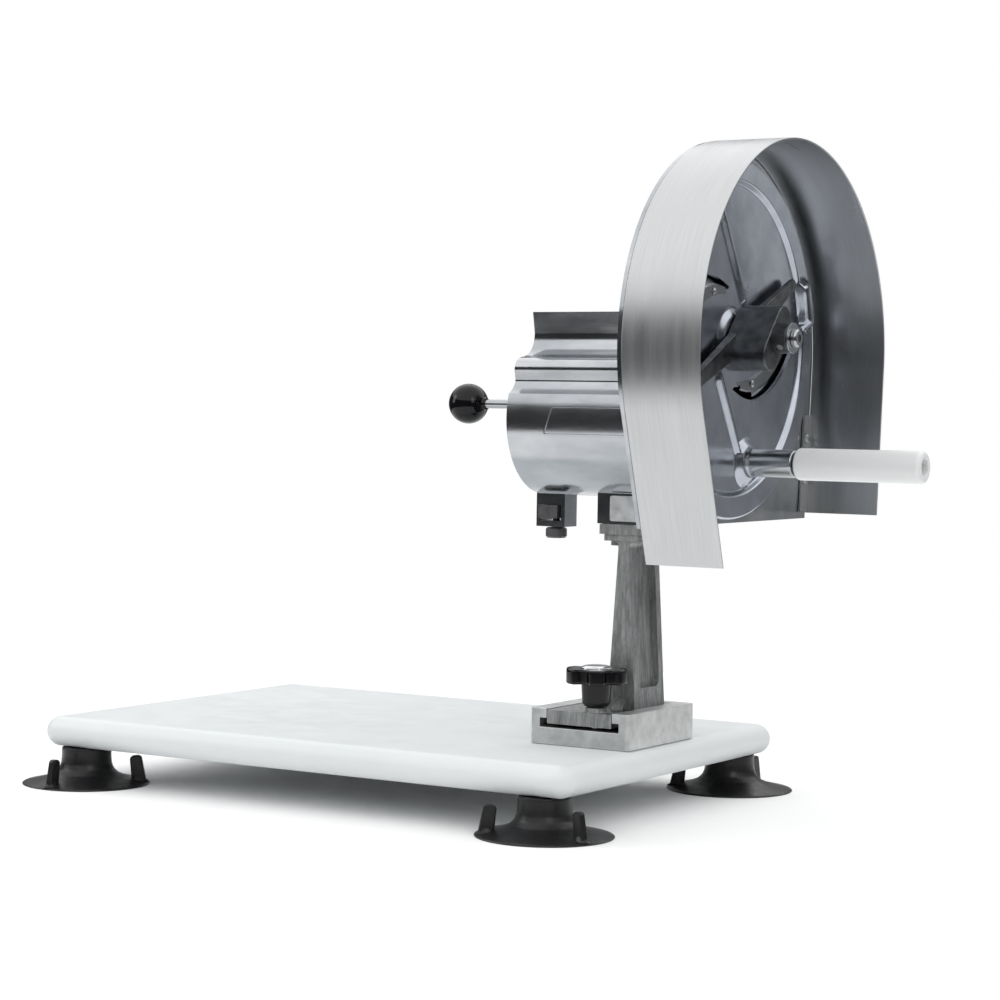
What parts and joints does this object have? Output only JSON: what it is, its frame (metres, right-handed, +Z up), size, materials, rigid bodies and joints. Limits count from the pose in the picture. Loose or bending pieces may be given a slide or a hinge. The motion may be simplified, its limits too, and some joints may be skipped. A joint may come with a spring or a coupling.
{
  "type": "rotary vegetable slicer",
  "caption": "Hand-cranked rotary vegetable slicer with a feed tube, pusher, blade plate and guard, clamped to a white board on suction feet.",
  "frame": {"origin": "middle of the footprint's bounding box, on the table", "axes": "+X along the rotor axis towards the crank handle, +Z up"},
  "size_m": [0.7642, 0.4302, 0.5537],
  "materials": {
    "white_board": "white polyethylene with a fine moulded grain",
    "rubber_feet": "glossy black moulded rubber",
    "steel_screws": "plain zinc plated steel",
    "machined_steel": "turned stainless steel",
    "cast_base": "tumbled cast aluminium, satin",
    "cast_pedestal": "rough cast aluminium",
    "polished_casting": "buffed cast aluminium",
    "polished_rotor": "polished cast aluminium",
    "pusher_casting": "satin cast aluminium",
    "dark_bridge": "dark cast aluminium with machined faces",
    "dark_iron": "dark plated iron",
    "blade_steel": "ground stainless steel",
    "brushed_guard": "brushed stainless sheet",
    "blank_label": "plain satin plate",
    "bright_cap": "bright pressed cap",
    "bronze_bush": "sintered bronze",
    "black_knob": "gloss black phenolic",
    "white_grip": "smooth white plastic"
  },
  "bodies": {
    "board": {"cutting_board": "white_board", "suction_cup_front_right": "rubber_feet", "suction_cup_front_left": "rubber_feet", "suction_cup_rear_right": "rubber_feet", "suction_cup_rear_left": "rubber_feet", "foot_screw_front_right": "steel_screws", "foot_screw_front_left": "steel_screws", "foot_screw_rear_right": "steel_screws", "foot_screw_rear_left": "steel_screws", "mounting_base": "cast_base", "base_screw_1": "steel_screws", "base_screw_2": "steel_screws", "base_screw_3": "steel_screws", "base_screw_4": "steel_screws"},
    "slicer": {"pedestal": "cast_pedestal", "pedestal_bolt_1": "steel_screws", "pedestal_bolt_2": "steel_screws", "pedestal_bolt_3": "steel_screws", "pedestal_bolt_4": "steel_screws", "clamp_bushing": "machined_steel", "housing": "polished_casting", "label_plate": "blank_label", "lug_bar": "dark_iron", "shaft_bush_rear": "bronze_bush", "shaft_bush_front": "bronze_bush", "guard": "brushed_guard", "guard_screw_1": "steel_screws", "guard_screw_2": "steel_screws", "guard_screw_3": "steel_screws", "guard_screw_4": "steel_screws"},
    "clamp": {"clamp_stud": "machined_steel", "clamp_knob": "black_knob", "clamp_knob_cap": "bright_cap"},
    "lug_screw": {"lug_thumb_screw": "dark_iron"},
    "rotor": {"main_shaft": "machined_steel", "retaining_collar": "machined_steel", "collar_screw": "steel_screws", "thrust_washer": "machined_steel", "rotor_plate": "polished_rotor", "blade_1": "blade_steel", "blade_2": "blade_steel", "blade_screw_1": "steel_screws", "blade_screw_2": "steel_screws", "blade_screw_3": "steel_screws", "blade_screw_4": "steel_screws", "knife_bridge": "dark_bridge", "bridge_set_screw": "steel_screws", "hub_washer": "machined_steel", "hub_bolt": "machined_steel", "handle_spindle": "machined_steel", "grip_screw": "steel_screws"},
    "grip": {"handle_grip": "white_grip"},
    "pusher": {"pusher_plate": "pusher_casting", "pusher_rod": "machined_steel", "pusher_nut": "steel_screws", "pusher_knob": "black_knob"}
  },
  "joints": [
    {"name": "slicer_slide", "type": "slide", "parent": "board", "child": "slicer", "axis": [0, -1, 0], "range_m": [0, 0.06]},
    {"name": "clamp_turn", "type": "hinge", "parent": "slicer", "child": "clamp", "pos_m": [0.1294, -0.0578, 0.1028], "axis": [0, 0, 1], "range_deg": [0, 360]},
    {"name": "lug_screw_turn", "type": "hinge", "parent": "slicer", "child": "lug_screw", "pos_m": [0.0619, -0.0123, 0.2328], "axis": [0, 0, 1], "range_deg": [0, 360]},
    {"name": "rotor_spin", "type": "hinge", "parent": "slicer", "child": "rotor", "pos_m": [0.2231, -0.0123, 0.3946], "axis": [1, 0, 0], "continuous": true},
    {"name": "grip_spin", "type": "hinge", "parent": "rotor", "child": "grip", "pos_m": [0.3271, 0.0172, 0.2934], "axis": [1, 0, 0], "continuous": true},
    {"name": "pusher_slide", "type": "slide", "parent": "slicer", "child": "pusher", "axis": [1, 0, 0], "range_m": [-0.08, 0.052]}
  ]
}
